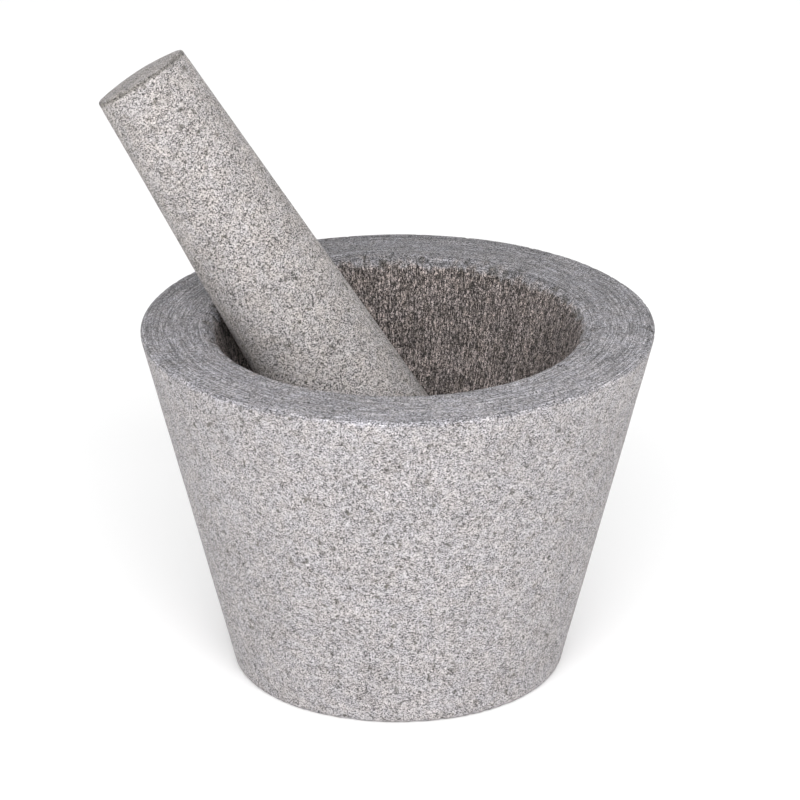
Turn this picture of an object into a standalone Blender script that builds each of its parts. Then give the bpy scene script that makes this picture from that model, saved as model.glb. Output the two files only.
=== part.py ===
"""Stone mortar and pestle, modelled at real size.

Two separate pieces of granite: a mortar turned as a truncated cone with a
round-bottomed bowl, and a loose tapered pestle that stands in the bowl and
leans on the rim. Metres, +Z up, origin at the centre of the mortar's base.
"""
from math import atan2, cos, pi, radians, sin, tan

import bmesh
import bpy
from mathutils import Euler, Vector

# ---- mortar, outside -------------------------------------------------------
MORTAR_HEIGHT = 0.120
RIM_RADIUS = 0.0855           # of the sharp corners, before they are rounded
BASE_RADIUS = 0.0555
RIM_EDGE_ROUND = 0.0019
BASE_EDGE_ROUND = 0.0012

# ---- mortar, bowl ----------------------------------------------------------
MOUTH_RADIUS = 0.061          # where the bowl's wall meets the flat rim
BOWL_DRAFT = radians(13.0)    # lean of the bowl's upper wall from vertical
BOWL_FLOOR_HEIGHT = 0.045     # stone left under the middle of the bowl
LIP_ROUND = 0.0035

# ---- pestle ----------------------------------------------------------------
PESTLE_LENGTH = 0.1745        # grinding end to the edge of the hand end
HAND_RADIUS = 0.0164
PESTLE_FLARE = 0.050          # growth of the radius per length, downwards
GRINDING_ROUND = 0.017        # length of the rounded grinding end
HAND_DOME = 0.0016            # rise of the hand end
HAND_EDGE_ROUND = 0.0008

# ---- pestle at rest: its end in the bowl, its side on the rim --------------
REST_POINT = (0.0075, -0.0014, 0.0518)   # middle of the grinding end
PESTLE_LEAN = radians(33.2)              # from vertical
PESTLE_BEARING = radians(164.5)          # of the lean, from +X towards +Y

# ---- mesh fineness ---------------------------------------------------------
MORTAR_STEPS = 96
PESTLE_STEPS = 48
BOWL_ARC_STEPS = 12
LIP_ARC_STEPS = 4
RIM_EDGE_ARC_STEPS = 3
BASE_EDGE_ARC_STEPS = 2
DOME_ARC_STEPS = 3
HAND_EDGE_ARC_STEPS = 2
GRINDING_ARC_STEPS = 9
MERGE_DISTANCE = 0.00002
SHARP_ANGLE = radians(30.0)

# ---- stone colours ---------------------------------------------------------
MORTAR_GREY = (0.500, 0.475, 0.480, 1.0)
PESTLE_GREY = (0.510, 0.480, 0.472, 1.0)


def arc(centre, radius, start, end, steps):
    """Points of an arc in the profile's plane, both ends included."""
    turn = (end - start) / steps
    return [(centre[0] + radius * cos(start + turn * i),
             centre[1] + radius * sin(start + turn * i)) for i in range(steps + 1)]


def rounded_corner(before, corner, after, radius, steps):
    """Points of the arc that rounds a profile's corner, from side to side."""
    to_before = (Vector(before) - Vector(corner)).normalized()
    to_after = (Vector(after) - Vector(corner)).normalized()
    half = to_before.angle(to_after) / 2.0
    middle = (to_before + to_after).normalized()
    centre = Vector(corner) + middle * (radius / sin(half))
    first = Vector(corner) + to_before * (radius / tan(half)) - centre
    last = Vector(corner) + to_after * (radius / tan(half)) - centre
    start = atan2(first.y, first.x)
    sweep = atan2(last.y, last.x) - start
    sweep = (sweep + pi) % (2.0 * pi) - pi
    return arc(centre, radius, start, start + sweep, steps)


def mortar_profile():
    """Half section: bowl floor, wall, lip, rim, outside wall, base."""
    mouth = (MOUTH_RADIUS, MORTAR_HEIGHT)
    # The grinding bowl is a sphere on the axis that meets its wall smoothly.
    reach = (MOUTH_RADIUS - MORTAR_HEIGHT * tan(BOWL_DRAFT)) * cos(BOWL_DRAFT)
    bowl_centre = (BOWL_FLOOR_HEIGHT + reach) / (1.0 - sin(BOWL_DRAFT))
    bowl_radius = bowl_centre - BOWL_FLOOR_HEIGHT
    bowl = arc((0.0, bowl_centre), bowl_radius, -pi / 2.0, -BOWL_DRAFT, BOWL_ARC_STEPS)
    rim_edge = (RIM_RADIUS, MORTAR_HEIGHT)
    base_edge = (BASE_RADIUS, 0.0)
    bowl[0] = (0.0, BOWL_FLOOR_HEIGHT)
    return (bowl
            + rounded_corner(bowl[-1], mouth, rim_edge, LIP_ROUND, LIP_ARC_STEPS)
            + rounded_corner(mouth, rim_edge, base_edge, RIM_EDGE_ROUND, RIM_EDGE_ARC_STEPS)
            + rounded_corner(rim_edge, base_edge, (0.0, 0.0), BASE_EDGE_ROUND, BASE_EDGE_ARC_STEPS)
            + [(0.0, 0.0)])


def pestle_profile():
    """Half section along the pestle's own axis, from hand end to grinding end."""
    dome_radius = (HAND_RADIUS ** 2 + HAND_DOME ** 2) / (2.0 * HAND_DOME)
    dome_centre = PESTLE_LENGTH + HAND_DOME - dome_radius
    dome_half_angle = atan2(HAND_RADIUS, PESTLE_LENGTH - dome_centre)
    dome = arc((0.0, dome_centre), dome_radius, pi / 2.0, pi / 2.0 - dome_half_angle, DOME_ARC_STEPS)
    dome[0] = (0.0, PESTLE_LENGTH + HAND_DOME)
    hand_edge = dome.pop()
    widest_radius = HAND_RADIUS + PESTLE_FLARE * (PESTLE_LENGTH - GRINDING_ROUND)
    widest = (widest_radius, GRINDING_ROUND)
    angles = [pi / 2.0 * i / GRINDING_ARC_STEPS for i in range(GRINDING_ARC_STEPS + 1)]
    grinding_end = [(widest_radius * cos(angle), GRINDING_ROUND * (1.0 - sin(angle))) for angle in angles]
    grinding_end[-1] = (0.0, 0.0)
    edge = rounded_corner(dome[-1], hand_edge, widest, HAND_EDGE_ROUND, HAND_EDGE_ARC_STEPS)
    return dome + edge + grinding_end


def granite(name, colour):
    """Plain granite: the stone's colour, dull and not metallic."""
    material = bpy.data.materials.new(name)
    material.use_nodes = True
    shader = material.node_tree.nodes["Principled BSDF"]
    shader.inputs["Base Color"].default_value = colour
    shader.inputs["Roughness"].default_value = 0.8
    shader.inputs["Metallic"].default_value = 0.0
    material.diffuse_color = colour
    return material


def turned_piece(name, profile, steps, material, collection):
    """A solid turned about its own Z axis from a half section."""
    section = bpy.data.meshes.new(name + " half section")
    outline = bmesh.new()
    points = [outline.verts.new((radius, 0.0, height)) for radius, height in profile]
    for upper, lower in zip(points, points[1:]):
        outline.edges.new((upper, lower))
    outline.to_mesh(section)
    outline.free()
    piece = bpy.data.objects.new(name, section)
    collection.objects.link(piece)
    turning = piece.modifiers.new("turned on its axis", "SCREW")
    turning.axis = "Z"
    turning.angle = 2.0 * pi
    turning.steps = steps
    turning.render_steps = steps
    turning.use_merge_vertices = True
    turning.merge_threshold = MERGE_DISTANCE
    turned = bpy.data.meshes.new_from_object(piece.evaluated_get(bpy.context.evaluated_depsgraph_get()))
    piece.modifiers.clear()
    piece.data = turned
    bpy.data.meshes.remove(section)
    turned.name = name
    turned.materials.clear()
    turned.materials.append(material)
    turned.shade_smooth()
    turned.set_sharp_from_angle(angle=SHARP_ANGLE)
    return piece


def main():
    for old in list(bpy.data.objects):
        bpy.data.objects.remove(old, do_unlink=True)
    collection = bpy.data.collections.new("mortar and pestle")
    bpy.context.scene.collection.children.link(collection)

    turned_piece("mortar", mortar_profile(), MORTAR_STEPS,
                 granite("mortar granite", MORTAR_GREY), collection)

    pestle = turned_piece("pestle", pestle_profile(), PESTLE_STEPS,
                          granite("pestle granite", PESTLE_GREY), collection)
    pestle.location = REST_POINT
    pestle.rotation_euler = Euler((0.0, PESTLE_LEAN, PESTLE_BEARING), "XYZ")


main()
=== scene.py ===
"""Looks of a granite mortar and pestle, two loose stones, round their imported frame.

Both stones are turned pieces. Each outline is drawn by extruding a vertex, its corners are
bevelled and it is cut into fine rows in edit mode. It is then turned about the stone's axis
and worn: pits, chips and tool marks are taken out of the mesh itself. The granite is a set of
node groups, and each stone's material places them with its own values.
Lengths are in metres unless a name or a comment says millimetres.
"""
import random
from math import atan2, cos, pi, radians, sin, sqrt, tan
from typing import NamedTuple

import bmesh
import bpy
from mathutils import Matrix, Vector
from mathutils.geometry import intersect_point_line


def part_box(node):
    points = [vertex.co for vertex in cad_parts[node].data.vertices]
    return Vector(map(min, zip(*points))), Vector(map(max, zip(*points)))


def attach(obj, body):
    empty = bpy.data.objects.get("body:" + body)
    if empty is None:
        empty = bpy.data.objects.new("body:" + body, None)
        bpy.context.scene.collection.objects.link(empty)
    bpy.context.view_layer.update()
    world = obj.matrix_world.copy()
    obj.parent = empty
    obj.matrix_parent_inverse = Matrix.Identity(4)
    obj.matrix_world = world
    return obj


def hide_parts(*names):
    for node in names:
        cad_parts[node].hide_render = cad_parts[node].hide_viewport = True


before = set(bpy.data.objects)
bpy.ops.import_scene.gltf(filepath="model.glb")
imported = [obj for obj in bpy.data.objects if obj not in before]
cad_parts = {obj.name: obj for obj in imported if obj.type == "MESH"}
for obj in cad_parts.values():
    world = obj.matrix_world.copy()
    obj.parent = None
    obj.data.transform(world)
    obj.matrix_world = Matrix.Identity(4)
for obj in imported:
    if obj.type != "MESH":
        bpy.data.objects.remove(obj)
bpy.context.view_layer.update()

# ---- the mortar ---------------------------------------------------------------
MORTAR_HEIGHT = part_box("mortar")[1].z
RIM_RADIUS = 0.0855           # of the sharp corner, before it is rounded
BASE_RADIUS = 0.0555
RIM_EDGE_ROUND = 0.0019
BASE_EDGE_ROUND = 0.0012
MOUTH_RADIUS = 0.061
BOWL_DRAFT = radians(13.0)
BOWL_FLOOR_HEIGHT = 0.045
LIP_ROUND = 0.0035
BOWL_ARC_STEPS = 16
MORTAR_SIDES = 600
BASE_ROW = 0.008
WALL_ROW = 0.0022
RIM_ROW = 0.0007
BOWL_ROW = 0.0015
BOWL_FLOOR_ROW = 0.0023
BOWL_FLOOR_TOP = 0.080        # below this the bowl's rows are wider

# ---- the pestle, measured along its own axis from the grinding end ------------
PESTLE_LENGTH = 0.1745
HAND_RADIUS = 0.0164
PESTLE_FLARE = 0.050
GRINDING_ROUND = 0.017
HAND_DOME = 0.0016
HAND_EDGE_ROUND = 0.0008
REST_POINT = (0.0075, -0.0014, 0.0518)
PESTLE_TURN = (0.0, radians(33.2), radians(164.5))
PESTLE_SIDES = 220
PESTLE_ROW = 0.0009
GRINDING_ARC_STEPS = 18
DOME_STEPS = 6

TINY = 0.00004
MERGE_DISTANCE = TINY / 4.0
WEIGHT_LEVELS = 20


# ---- wear --------------------------------------------------------------------

class Wear(NamedTuple):
    """Marks taken out of a stone: how deep they are and how large, and the levels of the
    noise between which they sink from nothing to their full depth."""
    depth: float
    size: float = 0.0
    low: float = 0.0
    high: float = 1.0
    detail: int = 2


UNEVEN_TURNING = Wear(0.00018, 0.028, 0.25, 0.75, detail=1)
WALL_PITS = Wear(0.00038, 0.0030, 0.60, 0.72)
FINE_PITS = Wear(0.00045, 0.0026, 0.66, 0.76)
BOWL_PITS = Wear(0.00055, 0.0032, 0.62, 0.76)
OUTER_EDGE_CHIPS = Wear(0.0005, 0.0034, 0.60, 0.78)
LIP_CHIPS = Wear(0.0011, 0.0040, 0.54, 0.72)
BASE_EDGE_CHIPS = Wear(0.0004, 0.0040, 0.58, 0.76)
RIM_NICK = Wear(0.0009)
RIM_GROOVES = Wear(0.00014)
BOWL_FLUTES = Wear(0.00034)
PESTLE_TURNING = Wear(0.00014, 0.022, 0.25, 0.75, detail=1)
PESTLE_PITS = Wear(0.00034, 0.0026, 0.60, 0.72)
HAND_EDGE_CHIPS = Wear(0.0006, 0.0032, 0.52, 0.72)

# How far from an edge its wear is full, and how far away it ends.
OUTER_EDGE_REACH = (0.0012, 0.0040)
LIP_REACH = (0.0020, 0.0060)
BASE_EDGE_REACH = (0.0008, 0.0030)
HAND_EDGE_REACH = (0.0008, 0.0030)
NICK_REACH = (0.0003, 0.0009)

NICK = ((0.0815, -0.0035), (0.0850, -0.0090))   # seen from above, from its inner end
NICK_DROP = 0.003                               # how far it shows down the wall
WALL_LEAN = 0.25                                # how far the wall comes in, per height
FLOOR_MIDDLE = 0.001
GROOVE_COUNT = 60                               # more than the rim's rows of faces
FLUTE_PACE = (160.0, 420.0)                     # radians a metre
FLUTE_TOP = (0.1165, 0.1195)                    # heights over which the flutes run out
FLUTE_FLOOR = (0.025, 0.045)                    # radii over which they grow from the floor
SHALLOW_FLUTE = 0.25
SMOOTH_END = (0.012, 0.030)                     # heights over which the pestle's pits grow
SMOOTH_END_SHARE = 0.8                          # of the pits that are ground away there


# ==== shaping a stone ==========================================================

def deselect_all():
    bpy.ops.object.select_all(action="DESELECT")


def select_only(piece):
    deselect_all()
    piece.select_set(True)
    bpy.context.view_layer.objects.active = piece


def pick(piece, kind, test):
    """In edit mode, selects only the verts, edges or faces that pass a test."""
    bpy.ops.mesh.select_all(action="DESELECT")
    bpy.ops.mesh.select_mode(type={"verts": "VERT", "edges": "EDGE", "faces": "FACE"}[kind])
    cage = bmesh.from_edit_mesh(piece.data)
    for element in getattr(cage, kind):
        if test(element):
            element.select_set(True)
    cage.select_flush_mode()
    bmesh.update_edit_mesh(piece.data)


def radius_of(vertex):
    return sqrt(vertex.co.x ** 2 + vertex.co.y ** 2)


def draw_outline(name, outline):
    """Draws an outline of (radius, height) points as a row of extruded vertices, in edit mode."""
    bpy.ops.mesh.primitive_plane_add(size=0.001, location=(outline[0][0], 0.0, outline[0][1]))
    piece = bpy.context.object
    piece.name = name
    bpy.ops.object.transform_apply(location=True, rotation=True, scale=True)
    bpy.ops.object.mode_set(mode="EDIT")
    bpy.ops.mesh.select_mode(type="VERT")
    bpy.ops.mesh.select_all(action="SELECT")
    bpy.ops.mesh.merge(type="CENTER")
    for here, there in zip(outline, outline[1:]):
        step = (there[0] - here[0], 0.0, there[1] - here[1])
        bpy.ops.mesh.extrude_region_move(TRANSFORM_OT_translate={"value": step})
    return piece


def round_corner(piece, radius, height, rounding, steps):
    """Rounds the outline's corner at this radius and height."""
    corner = Vector((radius, 0.0, height))
    pick(piece, "verts", lambda vertex: (vertex.co - corner).length < TINY)
    bpy.ops.mesh.bevel(affect="VERTICES", offset_type="OFFSET", offset=rounding,
                       segments=steps, profile=0.5)


def middle_of(edge):
    return (edge.verts[0].co + edge.verts[1].co) / 2.0


def cut_outline(piece, spacing):
    """Cuts the outline's long stretches, so that the turned stone has even, fine faces."""
    cage = bmesh.from_edit_mesh(piece.data)
    stretches = [(middle_of(edge), edge.calc_length()) for edge in cage.edges]
    for middle, length in stretches:
        rows = round(length / spacing(middle))
        if rows > 1:
            pick(piece, "edges", lambda edge: (middle_of(edge) - middle).length < TINY)
            bpy.ops.mesh.subdivide(number_cuts=rows - 1)


def apply_all_modifiers(piece):
    select_only(piece)
    for modifier in list(piece.modifiers):
        bpy.ops.object.modifier_apply(modifier=modifier.name)


def turn_outline(piece, sides):
    """Turns the outline once round its stone's axis and closes the solid."""
    bpy.ops.object.mode_set(mode="OBJECT")
    turn = piece.modifiers.new("turning", "SCREW")
    turn.axis = "Z"
    turn.angle = 2.0 * pi
    turn.steps = sides
    turn.render_steps = sides
    turn.use_merge_vertices = True
    turn.merge_threshold = MERGE_DISTANCE
    apply_all_modifiers(piece)
    bpy.ops.object.mode_set(mode="EDIT")
    bpy.ops.mesh.select_all(action="SELECT")
    bpy.ops.mesh.remove_doubles(threshold=MERGE_DISTANCE)
    bpy.ops.mesh.normals_make_consistent(inside=False)
    bpy.ops.object.mode_set(mode="OBJECT")
    piece.data.shade_smooth()


# ==== wearing a stone ==========================================================

def worn_texture(name, wear):
    """Soft noise as a mask: 0 below the wear's low level, 1 above its high one."""
    texture = bpy.data.textures.new(name, "CLOUDS")
    texture.noise_scale = wear.size
    texture.noise_depth = wear.detail
    texture.noise_basis = "IMPROVED_PERLIN"
    texture.use_color_ramp = True
    ramp = texture.color_ramp
    ramp.elements[0].position = wear.low
    ramp.elements[0].color = (0.0, 0.0, 0.0, 1.0)
    ramp.elements[1].position = wear.high
    ramp.elements[1].color = (1.0, 1.0, 1.0, 1.0)
    return texture


def weigh(piece, name, weight):
    """A vertex group whose weights follow a function of the vertex, in even steps."""
    group = piece.vertex_groups.new(name=name)
    levels = {}
    for vertex in piece.data.vertices:
        level = round(max(0.0, min(1.0, weight(vertex))) * WEIGHT_LEVELS)
        levels.setdefault(level, []).append(vertex.index)
    for level, members in levels.items():
        if level:
            group.add(members, level / WEIGHT_LEVELS, "REPLACE")
    return name


def take_off(piece, name, wear, mask=None):
    """Takes stone off as a wear says, all over or where a function of the vertex says."""
    cut = piece.modifiers.new(name, "DISPLACE")
    cut.texture = worn_texture(name, wear) if wear.size else None
    cut.texture_coords = "LOCAL"
    cut.direction = "NORMAL"
    cut.mid_level = 0.0
    cut.strength = -wear.depth
    cut.vertex_group = weigh(piece, name, mask) if mask else ""


def wear_down(piece):
    """Applies the wear, and keeps its depth in millimetres for the material to read."""
    fresh = [vertex.co.copy() for vertex in piece.data.vertices]
    apply_all_modifiers(piece)
    depths = [(vertex.co - place).length * 1000.0 for vertex, place in zip(piece.data.vertices, fresh)]
    piece.data.attributes.new("wear_and_painted_shade", "FLOAT", "POINT").data.foreach_set("value", depths)
    piece.vertex_groups.clear()


# ==== the two stones ===========================================================

def mortar_outline():
    """Base centre, outside wall, rim, and down the bowl's wall to the middle of its floor."""
    reach = (MOUTH_RADIUS - MORTAR_HEIGHT * tan(BOWL_DRAFT)) * cos(BOWL_DRAFT)
    bowl_centre = (BOWL_FLOOR_HEIGHT + reach) / (1.0 - sin(BOWL_DRAFT))
    bowl_radius = bowl_centre - BOWL_FLOOR_HEIGHT
    step = (pi / 2.0 - BOWL_DRAFT) / BOWL_ARC_STEPS
    angles = [-BOWL_DRAFT - step * i for i in range(BOWL_ARC_STEPS + 1)]
    bowl = [(bowl_radius * cos(a), bowl_centre + bowl_radius * sin(a)) for a in angles]
    bowl[-1] = (0.0, BOWL_FLOOR_HEIGHT)
    outside = [(0.0, 0.0), (BASE_RADIUS, 0.0), (RIM_RADIUS, MORTAR_HEIGHT)]
    return outside + [(MOUTH_RADIUS, MORTAR_HEIGHT)] + bowl


def in_bowl(point):
    out = sqrt(point.x ** 2 + point.y ** 2)
    return point.z > BOWL_FLOOR_HEIGHT - TINY and out < MOUTH_RADIUS + LIP_ROUND


def mortar_rows(point):
    """How far apart the rows of faces are at a point of the mortar's outline."""
    if point.z < TINY:
        return BASE_ROW
    if point.z > MORTAR_HEIGHT - TINY:
        return RIM_ROW
    if not in_bowl(point):
        return WALL_ROW
    return BOWL_ROW if point.z > BOWL_FLOOR_TOP else BOWL_FLOOR_ROW


def fade(value, start, end):
    """1 at the start and before, falling evenly to 0 at the end."""
    return max(0.0, min(1.0, (end - value) / (end - start)))


def on_wall(vertex):
    on_flat = vertex.co.z > MORTAR_HEIGHT - TINY or vertex.co.z < TINY
    return 0.0 if on_flat or in_bowl(vertex.co) else 1.0


def on_bowl(vertex):
    """Everywhere in the bowl but the middle of its floor, where all faces meet."""
    return 1.0 - fade(radius_of(vertex), 0.0, FLOOR_MIDDLE) if in_bowl(vertex.co) else 0.0


def by_outer_edge(vertex):
    below = MORTAR_HEIGHT - vertex.co.z
    inward = RIM_RADIUS - below * WALL_LEAN - radius_of(vertex)
    return fade(below + inward, *OUTER_EDGE_REACH) if inward < OUTER_EDGE_REACH[1] else 0.0


def by_lip(vertex):
    away = Vector((radius_of(vertex) - MOUTH_RADIUS, vertex.co.z - MORTAR_HEIGHT)).length
    return fade(away, *LIP_REACH)


def by_base_edge(vertex):
    away = Vector((radius_of(vertex) - BASE_RADIUS, vertex.co.z)).length
    return fade(away, *BASE_EDGE_REACH)


def by_nick(vertex):
    """A hairline nick that runs out over the rim's edge at the right."""
    start, end = (Vector(corner) for corner in NICK)
    spot = Vector((vertex.co.x, vertex.co.y))
    share = intersect_point_line(spot, start, end)[1]
    away = (spot - start.lerp(end, max(0.0, min(1.0, share)))).length
    return fade(away, *NICK_REACH) if vertex.co.z > MORTAR_HEIGHT - NICK_DROP else 0.0


def wear_mortar(piece):
    luck = random.Random(5)
    column_angle = 2.0 * pi / MORTAR_SIDES
    flutes = [(luck.uniform(0.1, 1.0), luck.uniform(*FLUTE_PACE), luck.uniform(0.0, 2.0 * pi))
              for _ in range(MORTAR_SIDES)]
    grooves = [luck.random() ** 2 for _ in range(GROOVE_COUNT)]

    def flute(vertex):
        """Dressing marks down the bowl's wall: every second column of faces is cut deeper."""
        if not in_bowl(vertex.co):
            return 0.0
        column = round(atan2(vertex.co.y, vertex.co.x) / column_angle) % MORTAR_SIDES
        depth, pace, start = flutes[column]
        wave = 0.55 + 0.45 * sin(vertex.co.z * pace + start)
        share = depth * wave if column % 2 else SHALLOW_FLUTE * depth * wave
        off_floor = 1.0 - fade(radius_of(vertex), *FLUTE_FLOOR)
        return share * fade(vertex.co.z, *FLUTE_TOP) * off_floor

    def groove(vertex):
        """Honing marks round the rim."""
        if vertex.co.z < MORTAR_HEIGHT - TINY:
            return 0.0
        return grooves[round((radius_of(vertex) - MOUTH_RADIUS) / RIM_ROW)]

    take_off(piece, "uneven turning", UNEVEN_TURNING, on_wall)
    take_off(piece, "wall pits", WALL_PITS, on_wall)
    take_off(piece, "fine pits", FINE_PITS)
    take_off(piece, "bowl pits", BOWL_PITS, on_bowl)
    take_off(piece, "outer edge chips", OUTER_EDGE_CHIPS, by_outer_edge)
    take_off(piece, "lip chips", LIP_CHIPS, by_lip)
    take_off(piece, "base edge chips", BASE_EDGE_CHIPS, by_base_edge)
    take_off(piece, "rim nick", RIM_NICK, by_nick)
    take_off(piece, "rim grooves", RIM_GROOVES, groove)
    take_off(piece, "bowl flutes", BOWL_FLUTES, flute)
    wear_down(piece)


def make_mortar():
    piece = draw_outline("mortar_stone", mortar_outline())
    round_corner(piece, BASE_RADIUS, 0.0, BASE_EDGE_ROUND, 2)
    round_corner(piece, RIM_RADIUS, MORTAR_HEIGHT, RIM_EDGE_ROUND, 4)
    round_corner(piece, MOUTH_RADIUS, MORTAR_HEIGHT, LIP_ROUND, 5)
    cut_outline(piece, mortar_rows)
    turn_outline(piece, MORTAR_SIDES)
    wear_mortar(piece)
    return piece


def pestle_outline():
    """Down the pestle's own axis: hand end, side, and round to the grinding end."""
    widest = HAND_RADIUS + PESTLE_FLARE * (PESTLE_LENGTH - GRINDING_ROUND)
    angles = [pi / 2.0 * i / GRINDING_ARC_STEPS for i in range(GRINDING_ARC_STEPS + 1)]
    end = [(widest * cos(a), GRINDING_ROUND * (1.0 - sin(a))) for a in angles]
    end[-1] = (0.0, 0.0)
    shares = [i / DOME_STEPS for i in range(DOME_STEPS + 1)]
    dome = [(HAND_RADIUS * share, PESTLE_LENGTH + HAND_DOME * (1.0 - share ** 2)) for share in shares]
    return dome + end


def by_hand_edge(vertex):
    away = Vector((radius_of(vertex) - HAND_RADIUS, vertex.co.z - PESTLE_LENGTH)).length
    return fade(away, *HAND_EDGE_REACH)


def clear_of_grinding_end(vertex):
    return 1.0 - SMOOTH_END_SHARE * fade(vertex.co.z, *SMOOTH_END)


def wear_pestle(piece):
    take_off(piece, "pestle turning", PESTLE_TURNING)
    take_off(piece, "pestle pits", PESTLE_PITS, clear_of_grinding_end)
    take_off(piece, "hand edge chips", HAND_EDGE_CHIPS, by_hand_edge)
    wear_down(piece)


def make_pestle():
    piece = draw_outline("pestle_stone", pestle_outline())
    round_corner(piece, HAND_RADIUS, PESTLE_LENGTH, HAND_EDGE_ROUND, 3)
    cut_outline(piece, lambda point: PESTLE_ROW)
    turn_outline(piece, PESTLE_SIDES)
    wear_pestle(piece)
    piece.rotation_euler = PESTLE_TURN
    piece.location = REST_POINT
    select_only(piece)
    bpy.ops.object.transform_apply(location=True, rotation=True, scale=True)
    return piece


# ==== granite ==================================================================

class Board:
    """Places nodes on one node tree and joins them up."""

    def __init__(self, tree):
        self.tree = tree

    def add(self, kind, settings=None, **plugs):
        node = self.tree.nodes.new("ShaderNode" + kind)
        for name, value in (settings or {}).items():
            setattr(node, name, value)
        for name, value in plugs.items():
            self.plug(node.inputs[name.replace("_", " ")], value)
        return node

    def plug(self, socket, value):
        if isinstance(value, bpy.types.NodeSocket):
            self.tree.links.new(value, socket)
        else:
            socket.default_value = value

    def maths(self, operation, first, second=0.0, third=0.0):
        node = self.tree.nodes.new("ShaderNodeMath")
        node.operation = operation
        for socket, value in zip(node.inputs, (first, second, third)):
            self.plug(socket, value)
        return node.outputs[0]

    def vectors(self, operation, first, second=None, scale=None):
        node = self.tree.nodes.new("ShaderNodeVectorMath")
        node.operation = operation
        self.plug(node.inputs[0], first)
        if second is not None:
            self.plug(node.inputs[1], second)
        if scale is not None:
            self.plug(node.inputs["Scale"], scale)
        return node.outputs["Value" if operation == "LENGTH" else "Vector"]

    def blend(self, operation, amount, first, second):
        node = self.tree.nodes.new("ShaderNodeMix")
        node.data_type = "RGBA"
        node.blend_type = operation
        for index, value in ((0, amount), (6, first), (7, second)):
            self.plug(node.inputs[index], value)
        return node.outputs[2]

    def mix(self, amount, first, second):
        node = self.tree.nodes.new("ShaderNodeMix")
        for index, value in ((0, amount), (2, first), (3, second)):
            self.plug(node.inputs[index], value)
        return node.outputs[0]

    def step(self, value, low, high, start=0.0, end=1.0):
        """A smooth step from start to end while value goes from low to high."""
        node = self.add("MapRange", {"interpolation_type": "SMOOTHSTEP"})
        for index, item in enumerate((value, low, high, start, end)):
            self.plug(node.inputs[index], item)
        return node.outputs[0]

    def ramp(self, value, stops):
        node = self.add("ValToRGB", Fac=value)
        elements = node.color_ramp.elements
        while len(elements) < len(stops):
            elements.new(1.0)
        for element, (position, tone) in zip(elements, stops):
            element.position = position
            element.color = (*tone, 1.0)
        return node.outputs["Color"]

    def noise(self, vector, scale, detail=2.0, roughness=0.5, fourth=None):
        """Soft noise, in four dimensions if a fourth value is given."""
        node = self.add("TexNoise", {"noise_dimensions": "3D" if fourth is None else "4D"},
                        Vector=vector, Scale=scale, Detail=detail, Roughness=roughness)
        if fourth is not None:
            self.plug(node.inputs["W"], fourth)
        return node.outputs["Fac"]


def new_group(name, inputs, outputs):
    """A node group with (label, kind, value) inputs and (label, kind) outputs."""
    tree = bpy.data.node_groups.new(name, "ShaderNodeTree")
    for label, kind, value in inputs:
        socket = tree.interface.new_socket(label, in_out="INPUT", socket_type="NodeSocket" + kind)
        if value is not None:
            socket.default_value = value
    for label, kind in outputs:
        tree.interface.new_socket(label, in_out="OUTPUT", socket_type="NodeSocket" + kind)
    return Board(tree), tree.nodes.new("NodeGroupInput").outputs, tree.nodes.new("NodeGroupOutput").inputs


# The noises are moved off the axis, where all their grids would meet in straight lines.
NOISE_SHIFT = (0.317, 0.173, 0.239)

CRYSTAL_TONES = ((0.0, 0.0), (0.10, 0.25), (0.3, 0.44), (0.7, 0.55), (1.0, 0.74))
CRYSTAL_MIDDLE = 0.48
GRIT_FINENESS = 2.7           # against the crystals
GRIT_MIDDLE = 0.667
# How far each layer swings the stone's tone.
CRYSTAL_SWING = 0.15
GRIT_SWING = 2.9
SOFT_SWING = 0.12
CLOUD_SWING = 0.40
DARKEST_TONE = 0.12
# The levels of noise over which dark clusters and small dark spots begin.
CLUSTER_LEVELS = (0.600, 0.680)
SPOT_LEVELS = (0.660, 0.700)
WARM_TINT = (1.012, 1.0, 0.982, 1.0)
COOL_TINT = (0.990, 1.0, 1.018, 1.0)
# The dark specks' tint, also used for the painted shade in pits, chips and flutes.
FLECK_AND_SHADE_TINT = (0.385, 0.380, 0.345, 1.0)


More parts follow.
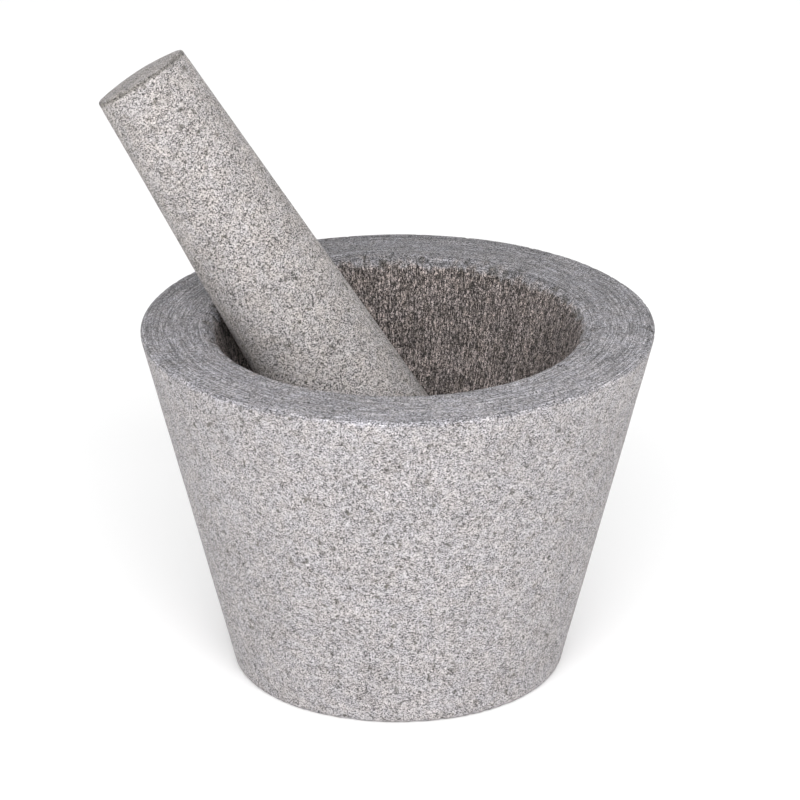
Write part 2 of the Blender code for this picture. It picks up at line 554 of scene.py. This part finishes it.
def make_grain_group():
    """The stone itself: crystals and finer grit, clusters of dark specks, and slow clouding."""
    board, take, give = new_group(
        "granite grain",
        [("Point", "Vector", None), ("Crystal Scale", "Float", 1250.0), ("Contrast", "Float", 1.0),
         ("Fleck Amount", "Float", 1.0)],
        [("Tone", "Float"), ("Flecks", "Float"), ("Tint", "Color"), ("Height", "Float")])
    point = board.vectors("ADD", take["Point"], NOISE_SHIFT)
    stir = board.add("TexNoise", Vector=point, Scale=900.0, Detail=1.0)
    stirred = board.vectors("ADD", point, board.vectors(
        "SCALE", board.vectors("SUBTRACT", stir.outputs["Color"], (0.5, 0.5, 0.5)), scale=0.0012))
    crystals = board.add("TexVoronoi", Vector=stirred, Scale=take["Crystal Scale"])
    crystal = board.add("SeparateColor", Color=crystals.outputs["Color"])
    grit_scale = board.maths("MULTIPLY", take["Crystal Scale"], GRIT_FINENESS)
    grit = board.add("TexVoronoi", Vector=point, Scale=grit_scale)
    grain = board.add("SeparateColor", Color=grit.outputs["Color"]).outputs["Red"]
    soft = board.noise(point, 520.0, 3.0, 0.6)
    cloud = board.noise(point, 75.0, 2.0)
    # Each crystal is darker or paler than the middle tone, few of them very dark.
    stops = [(position, (tone,) * 3) for position, tone in CRYSTAL_TONES]
    pale = board.ramp(crystal.outputs["Red"], stops)
    spread = board.maths("MULTIPLY", board.maths("SUBTRACT", pale, CRYSTAL_MIDDLE), CRYSTAL_SWING)
    skewed = board.maths("SUBTRACT", board.maths("SQRT", grain), GRIT_MIDDLE)
    spread = board.maths("MULTIPLY_ADD", skewed, GRIT_SWING, spread)
    spread = board.maths("MULTIPLY_ADD", board.maths("SUBTRACT", soft, 0.5), SOFT_SWING, spread)
    spread = board.maths("MULTIPLY_ADD", board.maths("SUBTRACT", cloud, 0.5), CLOUD_SWING, spread)
    spread = board.maths("MULTIPLY", spread, take["Contrast"])
    tone = board.maths("MAXIMUM", board.maths("ADD", spread, 1.0), DARKEST_TONE)
    board.plug(give["Tone"], tone)
    # The clusters are made of single dark grains, and the spots are dark all over.
    cluster = board.step(board.noise(point, 280.0, 4.0, 0.6), *CLUSTER_LEVELS)
    speck = board.step(grain, 0.30, 0.75, 1.0, 0.30)
    spot = board.step(board.noise(point, 430.0, 2.0, 0.5), *SPOT_LEVELS)
    dark = board.maths("MAXIMUM", board.maths("MULTIPLY", cluster, speck), spot)
    flecks = board.maths("MULTIPLY", dark, take["Fleck Amount"])
    board.plug(give["Flecks"], flecks)
    hue = board.step(board.noise(point, 210.0, 2.0, 0.7), 0.35, 0.65)
    board.plug(give["Tint"], board.blend("MIX", hue, WARM_TINT, COOL_TINT))
    height = board.maths("MULTIPLY_ADD", grain, 0.6, board.maths("MULTIPLY", crystal.outputs["Green"], 0.4))
    board.plug(give["Height"], board.maths("MULTIPLY_ADD", flecks, -0.6, height))
    return board.tree


def make_turning_group():
    """Fine tool marks: streaks that are long round the stone's axis, or long along it."""
    board, take, give = new_group(
        "tool marks",
        [("Point", "Vector", None), ("Reach Round", "Float", 0.02), ("Reach Along", "Float", 1.0),
         ("Scale", "Float", 900.0)],
        [("Marks", "Float")])
    parts = board.add("SeparateXYZ", Vector=take["Point"])
    flat = board.vectors("MULTIPLY", take["Point"], (1.0, 1.0, 0.0))
    out = board.vectors("LENGTH", flat)
    round_the_axis = board.vectors("SCALE", board.vectors("NORMALIZE", flat), scale=take["Reach Round"])
    lift = board.add("CombineXYZ", Z=board.maths("MULTIPLY", out, take["Reach Along"]))
    place = board.vectors("ADD", round_the_axis, lift.outputs["Vector"])
    place = board.vectors("ADD", place, NOISE_SHIFT)
    along = board.maths("MULTIPLY", parts.outputs["Z"], take["Reach Along"])
    board.plug(give["Marks"], board.noise(place, take["Scale"], 2.0, 0.6, fourth=along))
    return board.tree


def place_group(board, tree, **plugs):
    """Places a node group on a board and gives back its outputs."""
    node = board.tree.nodes.new("ShaderNodeGroup")
    node.node_tree = tree
    for name, value in plugs.items():
        board.plug(node.inputs[name.replace("_", " ")], value)
    return node.outputs


class Marks(NamedTuple):
    """One sort of tool mark. The shorter its reach, the longer it is drawn out that way."""
    reach_round: float
    reach_along: float
    scale: float


RIM_RINGS = Marks(0.018, 1.0, 1100.0)
RIM_SCRATCHES = Marks(0.0026, 1.0, 2300.0)
BOWL_GROOVES = Marks(0.060, 0.06, 1700.0)
BOWL_STREAKS = Marks(0.060, 0.22, 3300.0)
PESTLE_RINGS = Marks(0.005, 1.0, 1100.0)
PESTLE_SCRATCHES = Marks(0.0015, 1.0, 2300.0)


def tool_marks(board, group, point, marks):
    return place_group(board, group, Point=point, Reach_Round=marks.reach_round,
                       Reach_Along=marks.reach_along, Scale=marks.scale)["Marks"]


def new_material(name):
    """A material with an empty board round its Principled shader."""
    material = bpy.data.materials.new(name)
    material.use_nodes = True
    board = Board(material.node_tree)
    shader = material.node_tree.nodes["Principled BSDF"]
    shader.inputs["Metallic"].default_value = 0.0
    return material, board, shader


def bumped(board, shader, height_mm):
    """Raises a surface by a height in millimetres."""
    bump = board.add("Bump", Strength=1.0, Distance=0.001, Height=height_mm)
    board.plug(shader.inputs["Normal"], bump.outputs["Normal"])


class Finish(NamedTuple):
    """One finish of the stone, and how strongly its grain and its tool marks show."""
    stone: tuple
    contrast: float
    broad_marks: float
    fine_marks: float
    grain_relief: float = 0.24    # millimetres, like the next two
    broad_relief: float = 0.07
    fine_relief: float = 0.03
    flecks: float = 1.0
    roughness: float = 0.86


WALL = Finish((0.316, 0.300, 0.303, 1.0), contrast=0.96, broad_marks=0.45, fine_marks=0.30)
RIM = Finish((0.193, 0.187, 0.198, 1.0), contrast=1.15, broad_marks=0.90, fine_marks=3.40,
             grain_relief=0.08, flecks=0.85, roughness=0.66)
# The bowl's stone is darker and warmer than the wall's: partly its own rough finish, partly painted shade,
# and its warmth is painted warm bounce light.
BOWL = Finish((0.149, 0.128, 0.121, 1.0), contrast=1.25, broad_marks=0.70, fine_marks=1.65,
              broad_relief=0.25, fine_relief=0.16)
PESTLE = Finish((0.306, 0.287, 0.281, 1.0), contrast=1.05, broad_marks=0.45, fine_marks=0.35,
                roughness=0.84)
FLECK_ROUGHNESS = -0.22       # what the dark specks add to the roughness
GROOVE_LEVELS = (0.38, 0.62)
STREAK_LEVELS = (0.42, 0.58)
# Painted shade: pits, chips and the bowl's flutes are darkened by their depth, as shade falls in them.
PAINTED_PIT_SHADE = 0.75                   # how fully pits and chips darken
# How deep they are, in millimetres, where they begin to darken and where they are darkest.
WALL_PIT_SHADE_START = 0.20
BOWL_PIT_SHADE_START = 0.02
MORTAR_PIT_SHADE_FULL = 0.55
PESTLE_PIT_SHADE = (0.16, 0.45)
MORTAR_DARKEST_TONE = 0.08

# The bowl's finish lies inside this radius and above this height.
BOWL_FINISH_RADIUS = 0.0652
BOWL_FINISH_HEIGHT = 0.0425
# How far the rim's finish reaches down, and how ragged it ends: outside and in the bowl.
RIM_FINISH_START = MORTAR_HEIGHT - 0.0007
RIM_FINISH_END = (MORTAR_HEIGHT - 0.0022, MORTAR_HEIGHT - 0.0042)
RIM_RAGGEDNESS = (0.0045, 0.0120)
# Painted shade on the rim: its tone falls from the front towards the back.
RIM_BACK_SHADE = (-2.8, 0.98)         # of the rim's tone: per metre towards the back, and in the middle

# The pestle's hand end is ground finer, and its edge is bruised, as far as these heights.
HAND_FINISH = (PESTLE_LENGTH - 0.0006, PESTLE_LENGTH + 0.0001)
HAND_BRUISE = (PESTLE_LENGTH - 0.0018, PESTLE_LENGTH - 0.0009)
HAND_RAGGEDNESS = 0.0016
HAND_EVENING = (0.80, 0.17)   # the tone is multiplied by the first, and the second is added
BRUISE_DARKNESS = 0.8


def swing(board, mask, amount):
    """A tone that swings round 1 by an amount as a mask goes from 0 to 1."""
    return board.maths("MULTIPLY_ADD", board.maths("SUBTRACT", mask, 0.5), amount, 1.0)


def stone_colour(board, base, stone, tone, wear_and_painted_shade):
    """The base colour of a stone: its tone, its tint, its dark specks, and painted shade in its pits, chips
    and flutes (on the pestle also its bruised hand edge).
    """
    grey = board.add("CombineXYZ", X=tone, Y=tone, Z=tone)
    colour = board.blend("MULTIPLY", 1.0, base, grey.outputs["Vector"])
    colour = board.blend("MULTIPLY", 1.0, colour, stone["Tint"])
    dark = board.maths("MAXIMUM", stone["Flecks"], wear_and_painted_shade)
    return board.blend("MIX", dark, colour, board.blend("MULTIPLY", 1.0, colour, FLECK_AND_SHADE_TINT))


def ragged_by(board, point, scale, detail, roughness, amount, height):
    """A height that noise moves up and down by an amount, for a ragged border."""
    noise = board.noise(point, scale, detail, roughness)
    return board.maths("MULTIPLY_ADD", board.maths("SUBTRACT", noise, 0.5), amount, height)


def mortar_material(grain, marks):
    material, board, shader = new_material("mortar granite")
    point = board.add("TexCoord").outputs["Object"]
    parts = board.add("SeparateXYZ", Vector=point)
    height = parts.outputs["Z"]
    out = board.vectors("LENGTH", board.vectors("MULTIPLY", point, (1.0, 1.0, 0.0)))
    depth = board.add("Attribute", {"attribute_name": "wear_and_painted_shade"}).outputs["Fac"]
    # The rim is honed darker, with a ragged edge where that meets the sawn outside.
    inside = board.maths("MULTIPLY", board.maths("LESS_THAN", out, BOWL_FINISH_RADIUS),
                         board.maths("GREATER_THAN", height, BOWL_FINISH_HEIGHT))
    rim_height = ragged_by(board, board.vectors("ADD", point, NOISE_SHIFT), 260.0, 3.0, 0.6,
                           board.mix(inside, *RIM_RAGGEDNESS), height)
    rim = board.step(rim_height, board.mix(inside, *RIM_FINISH_END), RIM_FINISH_START)
    bowl = board.maths("MULTIPLY", inside, board.maths("SUBTRACT", 1.0, rim))
    contrast = board.mix(bowl, board.mix(rim, WALL.contrast, RIM.contrast), BOWL.contrast)
    stone = place_group(board, grain, Point=point, Contrast=contrast,
                        Fleck_Amount=board.mix(rim, WALL.flecks, RIM.flecks))
    rings = tool_marks(board, marks, point, RIM_RINGS)
    scratches = tool_marks(board, marks, point, RIM_SCRATCHES)
    grooves = tool_marks(board, marks, point, BOWL_GROOVES)
    streaks = tool_marks(board, marks, point, BOWL_STREAKS)
    base = board.blend("MIX", rim, WALL.stone, RIM.stone)
    base = board.blend("MIX", bowl, base, BOWL.stone)
    turned = board.maths(
        "MULTIPLY", swing(board, rings, board.mix(rim, WALL.broad_marks, RIM.broad_marks)),
        swing(board, scratches, board.mix(rim, WALL.fine_marks, RIM.fine_marks)))
    # Painted shade: the bowl's tone is darker in the low parts of its dressing grooves and streaks.
    painted_groove_shade = board.maths(
        "MULTIPLY", swing(board, board.step(grooves, *GROOVE_LEVELS), BOWL.broad_marks),
        swing(board, board.step(streaks, *STREAK_LEVELS), BOWL.fine_marks))
    tone = board.maths("MULTIPLY", stone["Tone"], board.mix(bowl, turned, painted_groove_shade))
    # Painted shade: the rim's tone is made darker towards the back, where less light falls on it.
    painted_back_shade = board.maths("MULTIPLY_ADD", parts.outputs["Y"], *RIM_BACK_SHADE)
    tone = board.maths("MULTIPLY", tone, board.mix(rim, 1.0, painted_back_shade))
    tone = board.maths("MAXIMUM", tone, MORTAR_DARKEST_TONE)
    # Painted shade in the pits, chips and flutes, darker the deeper they are.
    pit_shade_start = board.mix(bowl, WALL_PIT_SHADE_START, BOWL_PIT_SHADE_START)
    wear_and_painted_shade = board.maths("MULTIPLY", board.step(depth, pit_shade_start, MORTAR_PIT_SHADE_FULL), PAINTED_PIT_SHADE)
    board.plug(shader.inputs["Base Color"], stone_colour(board, base, stone, tone, wear_and_painted_shade))
    dull = board.mix(rim, WALL.roughness, RIM.roughness)
    roughness = board.maths("MULTIPLY_ADD", stone["Flecks"], FLECK_ROUGHNESS, dull)
    board.plug(shader.inputs["Roughness"], roughness)
    relief = board.maths("MULTIPLY", stone["Height"], board.mix(rim, WALL.grain_relief, RIM.grain_relief))
    relief = board.maths("MULTIPLY_ADD", board.mix(bowl, rings, grooves),
                         board.mix(bowl, WALL.broad_relief, BOWL.broad_relief), relief)
    relief = board.maths("MULTIPLY_ADD", board.mix(bowl, scratches, streaks),
                         board.mix(bowl, WALL.fine_relief, BOWL.fine_relief), relief)
    bumped(board, shader, relief)
    return material


def pestle_material(grain, marks):
    material, board, shader = new_material("pestle granite")
    whole = board.add("TexCoord").outputs["Object"]
    along = board.add("Mapping", {"vector_type": "TEXTURE"}, Vector=whole,
                      Location=REST_POINT, Rotation=PESTLE_TURN)
    point = along.outputs["Vector"]
    depth = board.add("Attribute", {"attribute_name": "wear_and_painted_shade"}).outputs["Fac"]
    stone = place_group(board, grain, Point=point, Contrast=PESTLE.contrast)
    rings = tool_marks(board, marks, point, PESTLE_RINGS)
    scratches = tool_marks(board, marks, point, PESTLE_SCRATCHES)
    tone = board.maths("MULTIPLY", swing(board, rings, PESTLE.broad_marks),
                       swing(board, scratches, PESTLE.fine_marks))
    tone = board.maths("MULTIPLY", stone["Tone"], tone)
    # The hand end is ground finer and greyer, and its edge is bruised darker.
    length = board.add("SeparateXYZ", Vector=point).outputs["Z"]
    ragged = ragged_by(board, point, 700.0, 2.0, 0.7, HAND_RAGGEDNESS, length)
    end = board.step(ragged, *HAND_FINISH)
    edge = board.maths("MULTIPLY", board.step(ragged, *HAND_BRUISE), board.maths("SUBTRACT", 1.0, end))
    tone = board.mix(end, tone, board.maths("MULTIPLY_ADD", tone, *HAND_EVENING))
    # Painted shade in the pits and chips, darker the deeper they are; the bruised edge is the stone's own.
    wear_and_painted_shade = board.maths("MULTIPLY", board.step(depth, *PESTLE_PIT_SHADE), PAINTED_PIT_SHADE)
    wear_and_painted_shade = board.maths("MAXIMUM", wear_and_painted_shade, board.maths("MULTIPLY", edge, BRUISE_DARKNESS))
    board.plug(shader.inputs["Base Color"], stone_colour(board, PESTLE.stone, stone, tone, wear_and_painted_shade))
    roughness = board.maths("MULTIPLY_ADD", stone["Flecks"], FLECK_ROUGHNESS, PESTLE.roughness)
    board.plug(shader.inputs["Roughness"], roughness)
    relief = board.maths("MULTIPLY", stone["Height"], PESTLE.grain_relief)
    relief = board.maths("MULTIPLY_ADD", rings, PESTLE.broad_relief, relief)
    bumped(board, shader, relief)
    return material


# ==== stage ====================================================================

CAMERA_LENS_MM = 198.0
CAMERA_PLACE = (0.0, -1.3533, 0.6540)
CAMERA_TURN = (radians(67.459), radians(0.124), radians(-0.081))
FLOOR_SIZE = 12.0
PALE = (0.95, 0.95, 0.95, 1.0)
WHITE = (1.0, 1.0, 1.0, 1.0)
SKY_GLOW = (1.25, 0.68)       # near the floor, and overhead
STONE_MIDDLE = (0.0, 0.0, 0.08)


def make_camera():
    data = bpy.data.cameras.new("camera")
    data.sensor_width = 36.0
    data.lens = CAMERA_LENS_MM
    data.clip_start = 0.05
    camera = bpy.data.objects.new("camera", data)
    bpy.context.scene.collection.objects.link(camera)
    camera.location = CAMERA_PLACE
    camera.rotation_euler = CAMERA_TURN
    bpy.context.scene.camera = camera


def add_softbox(name, location, size, power):
    data = bpy.data.lights.new(name, "AREA")
    data.shape = "RECTANGLE"
    data.size, data.size_y = size
    data.energy = power
    light = bpy.data.objects.new(name, data)
    bpy.context.scene.collection.objects.link(light)
    light.location = location
    aim = Vector(STONE_MIDDLE) - light.location
    light.rotation_euler = aim.to_track_quat("-Z", "Y").to_euler()


def make_stage():
    bpy.ops.mesh.primitive_plane_add(size=FLOOR_SIZE, location=(0.0, 0.0, 0.0))
    floor = bpy.context.object
    floor.name = "floor"
    paper = bpy.data.materials.new("pale floor")
    paper.use_nodes = True
    shader = paper.node_tree.nodes["Principled BSDF"]
    shader.inputs["Base Color"].default_value = PALE
    shader.inputs["Roughness"].default_value = 0.9
    floor.data.materials.append(paper)
    world = bpy.data.worlds.new("studio")
    world.use_nodes = True
    board = Board(world.node_tree)
    skyward = board.add("SeparateXYZ", Vector=board.add("TexCoord").outputs["Generated"]).outputs["Z"]
    glow = board.step(skyward, 0.15, 0.85, *SKY_GLOW)
    sky = world.node_tree.nodes["Background"]
    board.plug(sky.inputs["Color"], WHITE)
    board.plug(sky.inputs["Strength"], glow)
    bpy.context.scene.world = world
    bpy.context.scene.view_settings.view_transform = "Standard"
    add_softbox("front softbox", (0.05, -1.60, 1.20), (2.0, 1.0), 38.0)


deselect_all()
make_camera()
mortar = make_mortar()
deselect_all()
pestle = make_pestle()
grain = make_grain_group()
marks = make_turning_group()
mortar.data.materials.append(mortar_material(grain, marks))
pestle.data.materials.append(pestle_material(grain, marks))
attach(mortar, "mortar")
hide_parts("mortar")
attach(pestle, "pestle")
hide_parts("pestle")
deselect_all()
make_stage()
